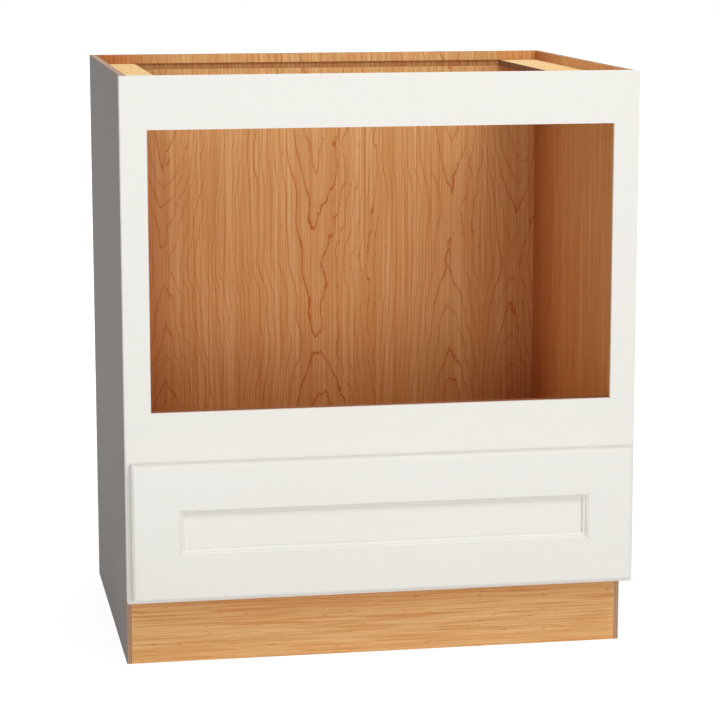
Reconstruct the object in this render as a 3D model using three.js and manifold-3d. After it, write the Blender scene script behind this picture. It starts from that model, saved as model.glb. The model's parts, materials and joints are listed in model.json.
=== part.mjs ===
// Framed base cabinet for a built-in microwave: a plywood box with a painted face frame, an open niche
// above and one full-overlay drawer below, on full-extension ball-bearing slides.
// Millimetres, +Z up, the front looks along -Y. The origin is the centre of the footprint on the floor.

import * as THREE from 'three';
import { mergeVertices } from 'three/addons/utils/BufferGeometryUtils.js';
import Module from 'manifold-3d';

const wasm = await Module();
wasm.setup();

// ---------------------------------------------------------------------------------------------------
// Driving dimensions
// ---------------------------------------------------------------------------------------------------

// The whole cabinet, without the drawer front's overlay.
const CABINET_WIDTH = 762;
const CABINET_HEIGHT = 876.3;
const CABINET_DEPTH = 603.25;

// Clearances.
const GLUE_GAP = 0.05; // between glued or screwed pieces
const RUN_GAP = 0.15; // between moving pieces of a slide

// Face frame.
const FRAME_THICKNESS = 19.05;
const STILE_WIDTH = 38.1;
const TOP_RAIL_HEIGHT = 76.2;
const MIDDLE_RAIL_HEIGHT = 136.525;
const BOTTOM_RAIL_HEIGHT = 38.1;
const TENON_LENGTH = 19.05;
const TENON_THICKNESS = 9.525;
const TENON_SHOULDER = 6.35;

// Box of plywood.
const TOE_HEIGHT = 107.95;
const TOE_DEPTH = 59;
const SIDE_THICKNESS = 9.525;
const SIDE_INSET = 2.4; // the face frame stands past the sides by this much
const SIDE_TONGUE = 4.75; // how far the sides enter the back of the stiles
const BACK_THICKNESS = 9.525;
const FLOOR_THICKNESS = 12.7;
const DECK_THICKNESS = 12.7;
const CLEAT_SIZE = 19.05; // square strips under the deck's ends
const DADO_DEPTH = 4.75;
const KICK_THICKNESS = 9.525;
const KICK_LAP = 2.1; // the toe kick's ends are let into the sides' front edges by this much
const HANGING_RAIL_THICKNESS = 12.7;
const HANGING_RAIL_HEIGHT = 101.6;
const BRACE_WIDTH = 61.9;
const BRACE_THICKNESS = 9.525;
const BRACE_DROP = 14.4; // from the cabinet's top to the braces' top

// Drawer front: five pieces with a moulded inner edge and a lipped outer edge.
const FRONT_THICKNESS = 19.05;
const FRONT_HEIGHT = 203.2;
const FRONT_REVEAL = 6.35; // face frame left showing at the front's sides and bottom
const FRONT_MEMBER_WIDTH = 76.2;
const LIP_WIDTH = 7; // from the front's rim to its flat face
const LIP_LEDGE = 1.4;
const LIP_STEP = 0.8;
const LIP_DROP = 2.2;
const STICKING_WIDTH = 8.2;
const STICKING_QUIRK = 1.2;
const STICKING_LEDGE = 0.6;
const BEAD_WIDTH = 3.6;
const BEAD_DROP = 3.4;
const OVOLO_DROP = 3.6;
const PANEL_RECESS = 9.5;
const PANEL_THICKNESS = 6.35;
const PANEL_SEAT = 8;
const ARC_STEPS = 6;

// Drawer box, dovetailed at its corners.
const BOX_REAR_CLEARANCE = 48.525; // from the drawer box to the back panel
const BOX_HEIGHT = 88.9;
const BOX_BOARD = 15.875;
const BOX_LIFT = 6.35; // above the bottom rail
const BOX_HEADROOM = 12.7; // below the middle rail
const BOX_BOTTOM_THICKNESS = 6.35;
const BOX_BOTTOM_RISE = 12.7;
const BOX_BOTTOM_SEAT = 6;
const TAIL_COUNT = 3;
const TAIL_FLARE = 2.6;
const PIN_WIDTH = 9;

// Slides: as long as the drawer box, with their whole length as travel.
const SLIDE_THICKNESS = 12.7;
const SLIDE_HEIGHT = 45.7;
const SLIDE_SETBACK = 1.6; // from the face frame's front
const SLIDE_STEEL = 1.2;
const SLIDE_BEND = 1.4;
const OUTER_REACH = 9.5;
const OUTER_LIP = 1.2;
const MIDDLE_REACH = 10.2;
const BALL_DIAMETER = 3.7;
const BALLS_PER_ROW = 7;
const CAGE_STEEL = 0.7;
const CAGE_MARGIN = 13.35; // left at each end of the members' overlap when the drawer is open
const CAGE_REACH = 2.2; // past the balls' centres
const BLOCK_HEIGHT = 63.5;

// Hardware on the drawer front.
const BUMPER_THICKNESS = 1;
const BUMPER_RADIUS = 4.75;
const BUMPER_INSET = 22; // from the front's top and side edges
const SCREW_SHANK_RADIUS = 2.1;
const SCREW_HEAD_RADIUS = 4;
const SCREW_HEAD_HEIGHT = 2.4;
const SCREW_BITE = 12; // into the drawer front
const SCREW_COUNT = 4;
const SCREW_INSET = 74; // from the drawer box's inner corners to the outermost screws
const SCREW_LIFT = 5.6; // above the drawer box's bottom panel

// ---------------------------------------------------------------------------------------------------
// Levels and faces worked out from them
// ---------------------------------------------------------------------------------------------------

const frameHalf = CABINET_WIDTH / 2;
const openingHalf = frameHalf - STILE_WIDTH;
const sideOuter = frameHalf - SIDE_INSET;
const sideInner = sideOuter - SIDE_THICKNESS;
const backRear = CABINET_DEPTH - HANGING_RAIL_THICKNESS - GLUE_GAP;
const backFront = backRear - BACK_THICKNESS;

const bottomRailTop = TOE_HEIGHT + BOTTOM_RAIL_HEIGHT;
const drawerOpeningHeight = BOX_LIFT + BOX_HEIGHT + BOX_HEADROOM;
const middleRailBottom = bottomRailTop + drawerOpeningHeight;
const middleRailTop = middleRailBottom + MIDDLE_RAIL_HEIGHT;
const topRailBottom = CABINET_HEIGHT - TOP_RAIL_HEIGHT;
const deckTop = middleRailBottom + DECK_THICKNESS;
const floorTop = TOE_HEIGHT + FLOOR_THICKNESS;
const braceTop = CABINET_HEIGHT - BRACE_DROP;

const frontBack = -BUMPER_THICKNESS;
const frontFace = frontBack - FRONT_THICKNESS;
const frontHalf = frameHalf - FRONT_REVEAL;
const frontBottom = TOE_HEIGHT + FRONT_REVEAL;
const frontTop = frontBottom + FRONT_HEIGHT;

const boxFront = frontBack + GLUE_GAP;
const boxRear = backFront - BOX_REAR_CLEARANCE;
const boxHalf = openingHalf - SLIDE_THICKNESS;
const boxInner = boxHalf - BOX_BOARD;
const boxBottom = bottomRailTop + BOX_LIFT;
const boxTop = boxBottom + BOX_HEIGHT;
const slideLevel = boxBottom + BOX_HEIGHT / 2;
const slideLength = boxRear - boxFront;
const cageLength = slideLength / 2 - 2 * CAGE_MARGIN;

// ---------------------------------------------------------------------------------------------------
// Shape helpers
// ---------------------------------------------------------------------------------------------------

/** A box between two values on each axis. */
function slab([x0, x1], [y0, y1], [z0, z1]) {
  const box = new THREE.BoxGeometry(x1 - x0, y1 - y0, z1 - z0);
  return box.translate((x0 + x1) / 2, (y0 + y1) / 2, (z0 + z1) / 2);
}

/** The same slab made larger by a gap on every side, for cutting a seat. */
function slabSeat(x, y, z, gap = GLUE_GAP) {
  const grown = ([low, high]) => [low - gap, high + gap];
  return slab(grown(x), grown(y), grown(z));
}

/** Extrudes an outline along one axis, from one value to another. The basis turns the outline's plane. */
function prism(outline, low, high, basis) {
  const shape = new THREE.Shape(outline.map(([u, v]) => new THREE.Vector2(u, v)));
  const solid = new THREE.ExtrudeGeometry(shape, { depth: high - low, bevelEnabled: false });
  return solid.translate(0, 0, low).applyMatrix4(basis);
}

const AXIS_X = new THREE.Vector3(1, 0, 0);
const AXIS_Y = new THREE.Vector3(0, 1, 0);
const AXIS_Z = new THREE.Vector3(0, 0, 1);

/** Outline of [y, z] points, extruded along X. */
function prismX(outline, low, high) {
  return prism(outline, low, high, new THREE.Matrix4().makeBasis(AXIS_Y, AXIS_Z, AXIS_X));
}

/** Outline of [x, z] points, extruded along Y. */
function prismY(outline, low, high) {
  const turned = outline.map(([x, z]) => [z, x]);
  return prism(turned, low, high, new THREE.Matrix4().makeBasis(AXIS_Z, AXIS_X, AXIS_Y));
}

/** Outline of [x, y] points, extruded along Z. */
function prismZ(outline, low, high) {
  return prism(outline, low, high, new THREE.Matrix4());
}

/** A closed geometry as a solid that can be joined and cut. */
function toSolid(geometry) {
  const bare = geometry.clone();
  bare.deleteAttribute('normal');
  bare.deleteAttribute('uv');
  const merged = mergeVertices(bare);
  const mesh = new wasm.Mesh({
    numProp: 3,
    vertProperties: Float32Array.from(merged.attributes.position.array),
    triVerts: Uint32Array.from(merged.index.array),
  });
  return new wasm.Manifold(mesh);
}

/** A solid back as a flat-shaded geometry. */
function toGeometry(solid) {
  const { vertProperties, triVerts, numProp } = solid.getMesh();
  const geometry = new THREE.BufferGeometry();
  const corners = new Float32Array(triVerts.length * 3);
  triVerts.forEach((vertex, i) => {
    corners.set(vertProperties.subarray(vertex * numProp, vertex * numProp + 3), i * 3);
  });
  geometry.setAttribute('position', new THREE.BufferAttribute(corners, 3));
  geometry.computeVertexNormals();
  return geometry;
}

/** The first geometry with all the others cut out of it. */
function carve(body, ...cutters) {
  const cut = cutters.reduce((solid, cutter) => solid.subtract(toSolid(cutter)), toSolid(body));
  return toGeometry(cut);
}

/** All the geometries joined. */
function fuse(...bodies) {
  const joined = bodies.map(toSolid).reduce((solid, other) => solid.add(other));
  return toGeometry(joined);
}

/** What all the geometries have in common. */
function common(...bodies) {
  const shared = bodies.map(toSolid).reduce((solid, other) => solid.intersect(other));
  return toGeometry(shared);
}

/** Points of a quarter round from one corner to another, about a centre that shares x with one of them. */
function quarter([u0, v0], [u1, v1], [uc, vc]) {
  const points = [];
  for (let step = 0; step <= ARC_STEPS; step += 1) {
    const angle = (step / ARC_STEPS) * (Math.PI / 2);
    const c = Math.cos(angle);
    const s = Math.sin(angle);
    points.push([uc + (u0 - uc) * c + (u1 - uc) * s, vc + (v0 - vc) * c + (v1 - vc) * s]);
  }
  return points;
}

// ---------------------------------------------------------------------------------------------------
// Materials and the scene graph
// ---------------------------------------------------------------------------------------------------

const paint = new THREE.MeshStandardMaterial({ color: 0xf3f1ea, roughness: 0.45, metalness: 0 });
const veneer = new THREE.MeshStandardMaterial({ color: 0xd79b62, roughness: 0.5, metalness: 0 });
const maple = new THREE.MeshStandardMaterial({ color: 0xebc594, roughness: 0.6, metalness: 0 });
const plywood = new THREE.MeshStandardMaterial({ color: 0xd0a06a, roughness: 0.65, metalness: 0 });
const steel = new THREE.MeshStandardMaterial({ color: 0xb9bcbe, roughness: 0.35, metalness: 0.9 });
const rubber = new THREE.MeshStandardMaterial({ color: 0xd8d8d4, roughness: 0.3, metalness: 0 });

/** Adds a named piece to a group. */
function addPiece(group, name, material, geometry) {
  const piece = new THREE.Mesh(geometry, material);
  piece.name = name;
  group.add(piece);
  return piece;
}

/** Left is -X and right is +X. */
const HANDS = { left: -1, right: 1 };

/** A range on X given as distances from the cabinet's centre plane, on one hand. */
function handed(hand, near, far) {
  return hand < 0 ? [-far, -near] : [near, far];
}

// ---------------------------------------------------------------------------------------------------
// Face frame
// ---------------------------------------------------------------------------------------------------

const tenonFront = (FRAME_THICKNESS - TENON_THICKNESS) / 2;
const RAILS = {
  bottom_rail: [TOE_HEIGHT, bottomRailTop],
  middle_rail: [middleRailBottom, middleRailTop],
  top_rail: [topRailBottom, CABINET_HEIGHT],
};

/** Level of a rail's tenons: the rail's own, less a shoulder above and below. */
function tenonLevel([low, high]) {
  return [low + TENON_SHOULDER, high - TENON_SHOULDER];
}

/** A rail between the stiles, with a tenon at each end. */
function rail(level) {
  const shoulder = openingHalf - GLUE_GAP;
  const tenonReach = openingHalf + TENON_LENGTH;
  return fuse(
    slab([-shoulder, shoulder], [0, FRAME_THICKNESS], level),
    slab([-tenonReach, tenonReach], [tenonFront, tenonFront + TENON_THICKNESS], tenonLevel(level)),
  );
}

/** A stile with a mortise for each rail and a groove in its back for the side panel. */
function stile(hand) {
  const board = slab(handed(hand, openingHalf, frameHalf), [0, FRAME_THICKNESS], [TOE_HEIGHT, CABINET_HEIGHT]);
  const mortises = Object.values(RAILS).map((level) => slabSeat(
    handed(hand, openingHalf - 1, openingHalf + TENON_LENGTH),
    [tenonFront, tenonFront + TENON_THICKNESS],
    tenonLevel(level),
  ));
  const groove = slabSeat(
    handed(hand, sideInner, sideOuter),
    [FRAME_THICKNESS - SIDE_TONGUE, FRAME_THICKNESS + 1],
    [TOE_HEIGHT - 1, CABINET_HEIGHT + 1],
  );
  return carve(board, ...mortises, groove);
}

function buildFaceFrame() {
  const group = new THREE.Group();
  for (const [side, hand] of Object.entries(HANDS)) {
    addPiece(group, `stile_${side}`, paint, stile(hand));
  }
  for (const [name, level] of Object.entries(RAILS)) {
    addPiece(group, name, paint, rail(level));
  }
  return group;
}

// ---------------------------------------------------------------------------------------------------
// Plywood box
// ---------------------------------------------------------------------------------------------------

const dadoReach = sideInner + DADO_DEPTH;
const frameBack = FRAME_THICKNESS + GLUE_GAP;
const backSeat = backFront + DADO_DEPTH;
const insideDepth = [frameBack, backFront - GLUE_GAP];
const insideReach = sideInner - GLUE_GAP;
const kickLevel = [0, TOE_HEIGHT - GLUE_GAP];
const kickFaces = [TOE_DEPTH, TOE_DEPTH + KICK_THICKNESS];

/** Panels that the sides hold in dadoes: their range on Y and Z. */
const HOUSED = {
  floor: { y: insideDepth, z: [TOE_HEIGHT, floorTop] },
  back: { y: [backFront, backRear], z: [TOE_HEIGHT, CABINET_HEIGHT] },
  brace: { y: [frameBack, backSeat], z: [braceTop - BRACE_THICKNESS, braceTop] },
};

/** A side panel: toe notch at the front, dadoes inside for what it houses, a step for the toe kick. */
function sidePanel(hand) {
  const front = FRAME_THICKNESS - SIDE_TONGUE;
  const outline = [
    [TOE_DEPTH, 0],
    [CABINET_DEPTH, 0],
    [CABINET_DEPTH, CABINET_HEIGHT],
    [front, CABINET_HEIGHT],
    [front, TOE_HEIGHT],
    [TOE_DEPTH, TOE_HEIGHT],
  ];
  const [low, high] = handed(hand, sideInner, sideOuter);
  const dadoes = Object.values(HOUSED).map(({ y, z }) => (
    slabSeat(handed(hand, sideInner - 1, dadoReach), y, z)
  ));
  const kickStep = slabSeat(
    handed(hand, sideInner - 1, sideInner + KICK_LAP),
    [kickFaces[0] - 1, kickFaces[1]],
    [kickLevel[0] - 1, kickLevel[1]],
  );
  return carve(prismX(outline, low, high), ...dadoes, kickStep);
}

/** A panel right across the box, with its ends in the sides' dadoes. */
function housedPanel({ y, z }) {
  return slab([-dadoReach, dadoReach], y, z);
}

/** The back panel, with the groove along its top that the braces enter. */
function backPanel() {
  const { z } = HOUSED.brace;
  const groove = slabSeat([-dadoReach - 1, dadoReach + 1], [backFront - 1, backSeat], z);
  return carve(housedPanel(HOUSED.back), groove);
}

/** A brace along one side, seated in the side's dado and the back's groove. */
function topBrace(hand) {
  const { y, z } = HOUSED.brace;
  return slab(handed(hand, sideInner - BRACE_WIDTH, dadoReach), y, z);
}

/** The niche's deck, between the sides, the face frame and the back. */
function nicheDeck() {
  return slab([-insideReach, insideReach], insideDepth, [middleRailBottom, deckTop]);
}

/** A strip on a side panel that the deck rests on. */
function deckCleat(hand) {
  const top = middleRailBottom - GLUE_GAP;
  return slab(handed(hand, insideReach - CLEAT_SIZE, insideReach), insideDepth, [top - CLEAT_SIZE, top]);
}

/** A block that brings the slide's seat in line with the face frame's inner edge. */
function slideBlock(hand) {
  const level = [slideLevel - BLOCK_HEIGHT / 2, slideLevel + BLOCK_HEIGHT / 2];
  return slab(handed(hand, openingHalf + GLUE_GAP, insideReach), insideDepth, level);
}

/** A rail behind the back panel, between the sides, that takes the wall screws. */
function hangingRail(bottom) {
  return slab(
    [-insideReach, insideReach],
    [CABINET_DEPTH - HANGING_RAIL_THICKNESS, CABINET_DEPTH],
    [bottom, bottom + HANGING_RAIL_HEIGHT],
  );
}

function buildBox() {
  const group = new THREE.Group();
  const kickReach = sideInner + KICK_LAP;
  addPiece(group, 'back_panel', veneer, backPanel());
  addPiece(group, 'floor_panel', plywood, housedPanel(HOUSED.floor));
  addPiece(group, 'niche_deck', veneer, nicheDeck());
  addPiece(group, 'toe_kick', veneer, slab([-kickReach, kickReach], kickFaces, kickLevel));
  addPiece(group, 'hanging_rail_top', plywood, hangingRail(CABINET_HEIGHT - HANGING_RAIL_HEIGHT));
  addPiece(group, 'hanging_rail_bottom', plywood, hangingRail(TOE_HEIGHT));
  for (const [side, hand] of Object.entries(HANDS)) {
    addPiece(group, `side_panel_${side}`, veneer, sidePanel(hand));
    addPiece(group, `top_brace_${side}`, maple, topBrace(hand));
    addPiece(group, `deck_cleat_${side}`, maple, deckCleat(hand));
    addPiece(group, `slide_block_${side}`, maple, slideBlock(hand));
  }
  return group;
}

// ---------------------------------------------------------------------------------------------------
// Slides: nested channels of steel strip with balls between them
// ---------------------------------------------------------------------------------------------------

const raceWidth = BALL_DIAMETER + 2 * RUN_GAP;
const cageSlot = CAGE_STEEL + 2 * RUN_GAP;
const outerHalf = SLIDE_HEIGHT / 2;
const middleHalf = outerHalf - SLIDE_STEEL - raceWidth;
const innerHalf = middleHalf - SLIDE_STEEL - raceWidth;
const middleWeb = SLIDE_STEEL + cageSlot;
const innerTip = middleWeb + SLIDE_STEEL + cageSlot;

/** Rounds the inner corners of an open line of points. */
function rounded(points, radius) {
  const line = points.map(([u, v]) => new THREE.Vector2(u, v));
  const result = [points[0]];
  for (let i = 1; i < line.length - 1; i += 1) {
    const towards = (end) => end.clone().sub(line[i]).setLength(radius).add(line[i]);
    const bend = new THREE.QuadraticBezierCurve(towards(line[i - 1]), line[i], towards(line[i + 1]));
    result.push(...bend.getPoints(3).map(({ x, y }) => [x, y]));
  }
  result.push(points[points.length - 1]);
  return result;
}

/** The closed outline of a strip of even thickness along an open line of points. */
function stripOutline(points, thickness) {
  const line = points.map(([u, v]) => new THREE.Vector2(u, v));
  const sides = { 1: [], [-1]: [] };
  line.forEach((point, i) => {
    const before = point.clone().sub(line[Math.max(i - 1, 0)]).normalize();
    const after = line[Math.min(i + 1, line.length - 1)].clone().sub(point).normalize();
    const along = before.add(after).normalize();
    const reference = i === 0 ? after : point.clone().sub(line[i - 1]).normalize();
    const mitre = (thickness / 2) / along.dot(reference);
    const normal = new THREE.Vector2(-along.y, along.x).multiplyScalar(mitre);
    for (const side of [1, -1]) {
      sides[side].push([point.x + side * normal.x, point.y + side * normal.y]);
    }
  });
  return [...sides[1], ...sides[-1].reverse()];
}

/** A channel's section: a web, two flanges and, where wanted, a lip turned in at each flange's tip. */
function channelOutline({ web, tip, half, thickness, lip = 0 }) {
  const h = half - thickness / 2;
  const inward = Math.sign(tip - web) * (thickness / 2);
  const back = web + inward;
  const flange = [[tip, h], [back, h], [back, -h], [tip, -h]];
  if (lip > 0) {
    const edge = tip - inward;
    flange.splice(0, 1, [edge, h - lip - thickness / 2], [edge, h]);
    flange.splice(-1, 1, [edge, -h], [edge, -h + lip + thickness / 2]);
  }
  return stripOutline(rounded(flange, Math.min(SLIDE_BEND, h / 2)), thickness);
}

/** A row of balls along the slide, as far apart as they fit in the cage. */
function ballRow(x, z, start) {
  const pitch = cageLength / BALLS_PER_ROW;
  return Array.from({ length: BALLS_PER_ROW }, (_, i) => (
    new THREE.SphereGeometry(BALL_DIAMETER / 2, 8, 6).translate(x, start + pitch * (i + 0.5), z)
  ));
}

/** A ball cage: a thin channel that carries one row of balls in each flange. It is stored where it is
 * with the drawer closed, a quarter of the travel behind its place with the drawer open. */
function ballCage({ web, half, ballAt }) {
  const start = CAGE_MARGIN + slideLength / 4;
  const ballLevel = half - raceWidth / 2;
  const outline = channelOutline({
    web: web + RUN_GAP,
    tip: ballAt + CAGE_REACH,
    half: ballLevel + CAGE_STEEL / 2,
    thickness: CAGE_STEEL,
  });
  return fuse(
    prismY(outline, start, start + cageLength),
    ...ballRow(ballAt, ballLevel, start),
    ...ballRow(ballAt, -ballLevel, start),
  );
}

const outerBalls = OUTER_REACH - SLIDE_STEEL - 2 * RUN_GAP - BALL_DIAMETER / 2;
const innerBalls = MIDDLE_REACH - BALL_DIAMETER / 2 - 2 * RUN_GAP;

/** One slide, as seen from its seat: X runs from the cabinet towards the drawer, Y to the back. */
function buildSlide(side, drawerOffset) {
  const group = new THREE.Group();
  const outer = channelOutline({
    web: GLUE_GAP, tip: OUTER_REACH, half: outerHalf, thickness: SLIDE_STEEL, lip: OUTER_LIP,
  });
  const middle = channelOutline({
    web: middleWeb, tip: MIDDLE_REACH, half: middleHalf, thickness: SLIDE_STEEL,
  });
  const inner = channelOutline({
    web: SLIDE_THICKNESS - GLUE_GAP, tip: innerTip, half: innerHalf, thickness: SLIDE_STEEL,
  });
  addPiece(group, `slide_outer_${side}`, steel, prismY(outer, 0, slideLength));
  addPiece(group, `slide_middle_${side}`, steel, prismY(middle, 0, slideLength));
  addPiece(group, `slide_inner_${side}`, steel, prismY(inner, drawerOffset, drawerOffset + slideLength));
  addPiece(group, `ball_cage_outer_${side}`, steel, ballCage({
    web: SLIDE_STEEL, half: outerHalf - SLIDE_STEEL, ballAt: outerBalls,
  }));
  addPiece(group, `ball_cage_inner_${side}`, steel, ballCage({
    web: middleWeb + SLIDE_STEEL, half: middleHalf - SLIDE_STEEL, ballAt: innerBalls,
  }));
  return group;
}

function buildSlides() {
  const group = new THREE.Group();
  for (const [side, hand] of Object.entries(HANDS)) {
    const slide = buildSlide(side, boxFront - SLIDE_SETBACK);
    slide.position.set(hand * openingHalf, SLIDE_SETBACK, slideLevel);
    slide.rotation.y = hand > 0 ? Math.PI : 0;
    group.add(slide);
  }
  return group;
}

// ---------------------------------------------------------------------------------------------------
// Drawer front
// ---------------------------------------------------------------------------------------------------

/** Section through the front's two outer edges, as [across, depth] from the face, low edge to high. */
function lippedSection(low, high) {
  const ledge = LIP_DROP + LIP_STEP;
  const edge = [
    [0, FRONT_THICKNESS],
    [0, ledge],
    [LIP_LEDGE, ledge],
    ...quarter([LIP_LEDGE, LIP_DROP], [LIP_WIDTH, 0], [LIP_WIDTH, LIP_DROP]),
  ];
  return [
    ...edge.map(([w, d]) => [low + w, d]),
    ...edge.reverse().map(([w, d]) => [high - w, d]),
  ];
}

/** Section through the opening that the moulded inner edges leave, from in front of the face to behind. */
function openingSection(low, high) {
  const beadFoot = STICKING_QUIRK + BEAD_DROP;
  const ovoloStart = BEAD_WIDTH + STICKING_LEDGE;
  const ovoloFoot = beadFoot + OVOLO_DROP;
  const edge = [
    [0, -1],
    ...quarter([0, STICKING_QUIRK], [BEAD_WIDTH, beadFoot], [0, beadFoot]),
    ...quarter([ovoloStart, beadFoot], [STICKING_WIDTH, ovoloFoot], [ovoloStart, ovoloFoot]),
    [STICKING_WIDTH, FRONT_THICKNESS + 1],
  ];
  return [
    ...edge.map(([w, d]) => [low + w, d]),
    ...edge.reverse().map(([w, d]) => [high - w, d]),
  ];
}

const flatWidth = FRONT_MEMBER_WIDTH - STICKING_WIDTH;
const grooveFaces = [frontFace + PANEL_RECESS, frontFace + PANEL_RECESS + PANEL_THICKNESS];
const panelHalf = frontHalf - FRONT_MEMBER_WIDTH + PANEL_SEAT;
const panelLevel = [
  frontBottom + FRONT_MEMBER_WIDTH - PANEL_SEAT,
  frontTop - FRONT_MEMBER_WIDTH + PANEL_SEAT,
];

/** The front's four members as one solid, before they are parted. */
function frontFrame() {
  const onX = (section) => section.map(([x, d]) => [x, frontFace + d]);
  const onZ = (section) => section.map(([z, d]) => [frontFace + d, z]);
  const blank = common(
    prismZ(onX(lippedSection(-frontHalf, frontHalf)), frontBottom, frontTop),
    prismX(onZ(lippedSection(frontBottom, frontTop)), -frontHalf, frontHalf),
  );
  const innerX = frontHalf - flatWidth;
  const innerZ = [frontBottom + flatWidth, frontTop - flatWidth];
  const opening = common(
    prismZ(onX(openingSection(-innerX, innerX)), ...innerZ),
    prismX(onZ(openingSection(...innerZ)), -innerX, innerX),
  );
  const groove = slabSeat([-panelHalf, panelHalf], grooveFaces, panelLevel);
  return carve(blank, opening, groove);
}

/** Outline on X and Z of all that lies beyond the joint with one stile, out to the front's edge. */
function stileRegion(hand, gap) {
  const outer = frontHalf + 1;
  const shoulder = frontHalf - flatWidth - gap;
  const mitre = shoulder - STICKING_WIDTH;
  const inner = mitre - 1;
  return [
    [outer, frontBottom - 1],
    [shoulder, frontBottom - 1],
    [shoulder, frontBottom + flatWidth],
    [mitre, frontBottom + FRONT_MEMBER_WIDTH],
    [inner, frontBottom + FRONT_MEMBER_WIDTH + 1],
    [inner, frontTop - FRONT_MEMBER_WIDTH - 1],
    [mitre, frontTop - FRONT_MEMBER_WIDTH],
    [shoulder, frontTop - flatWidth],
    [shoulder, frontTop + 1],
    [outer, frontTop + 1],
  ].map(([x, z]) => [hand * x, z]);
}

/** The groove along a stile's whole length, which the panel and the rails' tongues enter. */
function stileGroove(hand) {
  const inner = frontHalf - FRONT_MEMBER_WIDTH;
  return slabSeat(
    handed(hand, inner - 1, inner + PANEL_SEAT),
    grooveFaces,
    [frontBottom - 1, frontTop + 1],
  );
}

/** Places of the screws that hold the drawer front to the box, on X, evenly apart. */
const screwPlaces = Array.from({ length: SCREW_COUNT }, (_, i) => (
  (boxInner - SCREW_INSET) * ((2 * i) / (SCREW_COUNT - 1) - 1)
));
const screwLevel = boxBottom + BOX_BOTTOM_RISE + BOX_BOTTOM_THICKNESS + SCREW_LIFT;

/** A round rod along Y between two values, centred on X and Z. */
function rod(radius, x, [y0, y1], z) {
  return new THREE.CylinderGeometry(radius, radius, y1 - y0, 16).translate(x, (y0 + y1) / 2, z);
}

/** Holes for the drawer front's screws, a gap wider than their shanks. */
function screwHoles() {
  return screwPlaces.map((x) => rod(
    SCREW_SHANK_RADIUS + GLUE_GAP,
    x,
    [frontBack - SCREW_BITE - GLUE_GAP, boxFront + BOX_BOARD + 1],
    screwLevel,
  ));
}

/** A pan-head screw: its head on the box's front board, its shank through to the drawer front. */
function screw(x) {
  const seat = boxFront + BOX_BOARD + GLUE_GAP;
  const length = seat - (frontBack - SCREW_BITE);
  const point = 3;
  const profile = [
    [0, -length],
    [SCREW_SHANK_RADIUS, point - length],
    [SCREW_SHANK_RADIUS, 0],
    [SCREW_HEAD_RADIUS, 0],
    [SCREW_HEAD_RADIUS, SCREW_HEAD_HEIGHT / 2],
    [SCREW_HEAD_RADIUS / 2, SCREW_HEAD_HEIGHT],
    [0, SCREW_HEAD_HEIGHT],
  ].map(([r, y]) => new THREE.Vector2(r, y));
  return fuse(new THREE.LatheGeometry(profile, 16).translate(x, seat, screwLevel));
}

function buildDrawerFront() {
  const group = new THREE.Group();
  const whole = frontFrame();
  const through = [frontFace - 1, frontBack + 1];
  const regions = Object.values(HANDS).map((hand) => prismY(stileRegion(hand, GLUE_GAP), ...through));
  for (const [side, hand] of Object.entries(HANDS)) {
    const region = prismY(stileRegion(hand, 0), ...through);
    const member = carve(common(whole, region), stileGroove(hand));
    addPiece(group, `drawer_front_stile_${side}`, paint, member);
  }
  const between = carve(whole, ...regions);
  const tongueHalf = frontHalf - FRONT_MEMBER_WIDTH + PANEL_SEAT - GLUE_GAP;
  const rails = { bottom: [frontBottom, panelLevel[0]], top: [panelLevel[1], frontTop] };
  for (const [end, [low, high]] of Object.entries(rails)) {
    const middle = (frontBottom + frontTop) / 2;
    const half = end === 'bottom' ? [frontBottom - 1, middle] : [middle, frontTop + 1];
    const board = common(between, slab([-frontHalf, frontHalf], through, half));
    const tongue = slab(
      [-tongueHalf, tongueHalf],
      grooveFaces,
      end === 'bottom' ? [low, high - GLUE_GAP] : [low + GLUE_GAP, high],
    );
    const joined = fuse(board, tongue);
    const drilled = end === 'bottom' ? carve(joined, ...screwHoles()) : joined;
    addPiece(group, `drawer_front_rail_${end}`, paint, drilled);
  }
  addPiece(group, 'drawer_front_panel', paint, slab([-panelHalf, panelHalf], grooveFaces, panelLevel));
  screwPlaces.forEach((x, i) => addPiece(group, `drawer_screw_${i + 1}`, steel, screw(x)));
  for (const [side, hand] of Object.entries(HANDS)) {
    const bumper = rod(
      BUMPER_RADIUS,
      hand * (frontHalf - BUMPER_INSET),
      [frontBack + GLUE_GAP, -GLUE_GAP],
      frontTop - BUMPER_INSET,
    );
    addPiece(group, `drawer_bumper_${side}`, rubber, bumper);
  }
  return group;
}

// ---------------------------------------------------------------------------------------------------
// Drawer box
// ---------------------------------------------------------------------------------------------------

/** Outline on Y and Z of a drawer side with its tails at both ends, grown by a gap for cutting pins. */
function tailedOutline(gap) {
  const pitch = BOX_HEIGHT / TAIL_COUNT;
  const wide = (pitch - PIN_WIDTH) / 2 + gap;
  const narrow = wide - TAIL_FLARE;
  const end = boxFront - gap;
  const shoulder = boxFront + BOX_BOARD - gap;
  const front = [[shoulder, boxBottom - gap]];
  for (let i = 0; i < TAIL_COUNT; i += 1) {
    const centre = boxBottom + pitch * (i + 0.5);
    front.push(
      [shoulder, centre - narrow],
      [end, centre - wide],
      [end, centre + wide],
      [shoulder, centre + narrow],
    );
  }
  front.push([shoulder, boxTop + gap]);
  const rear = front.map(([y, z]) => [boxFront + boxRear - y, z]).reverse();
  return [...front, ...rear];
}

const boxBottomLevel = [
  boxBottom + BOX_BOTTOM_RISE,
  boxBottom + BOX_BOTTOM_RISE + BOX_BOTTOM_THICKNESS,
];
const boxBottomHalf = boxInner + BOX_BOTTOM_SEAT;
const boxBottomDepth = [
  boxFront + BOX_BOARD - BOX_BOTTOM_SEAT,
  boxRear - BOX_BOARD + BOX_BOTTOM_SEAT,
];

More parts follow.
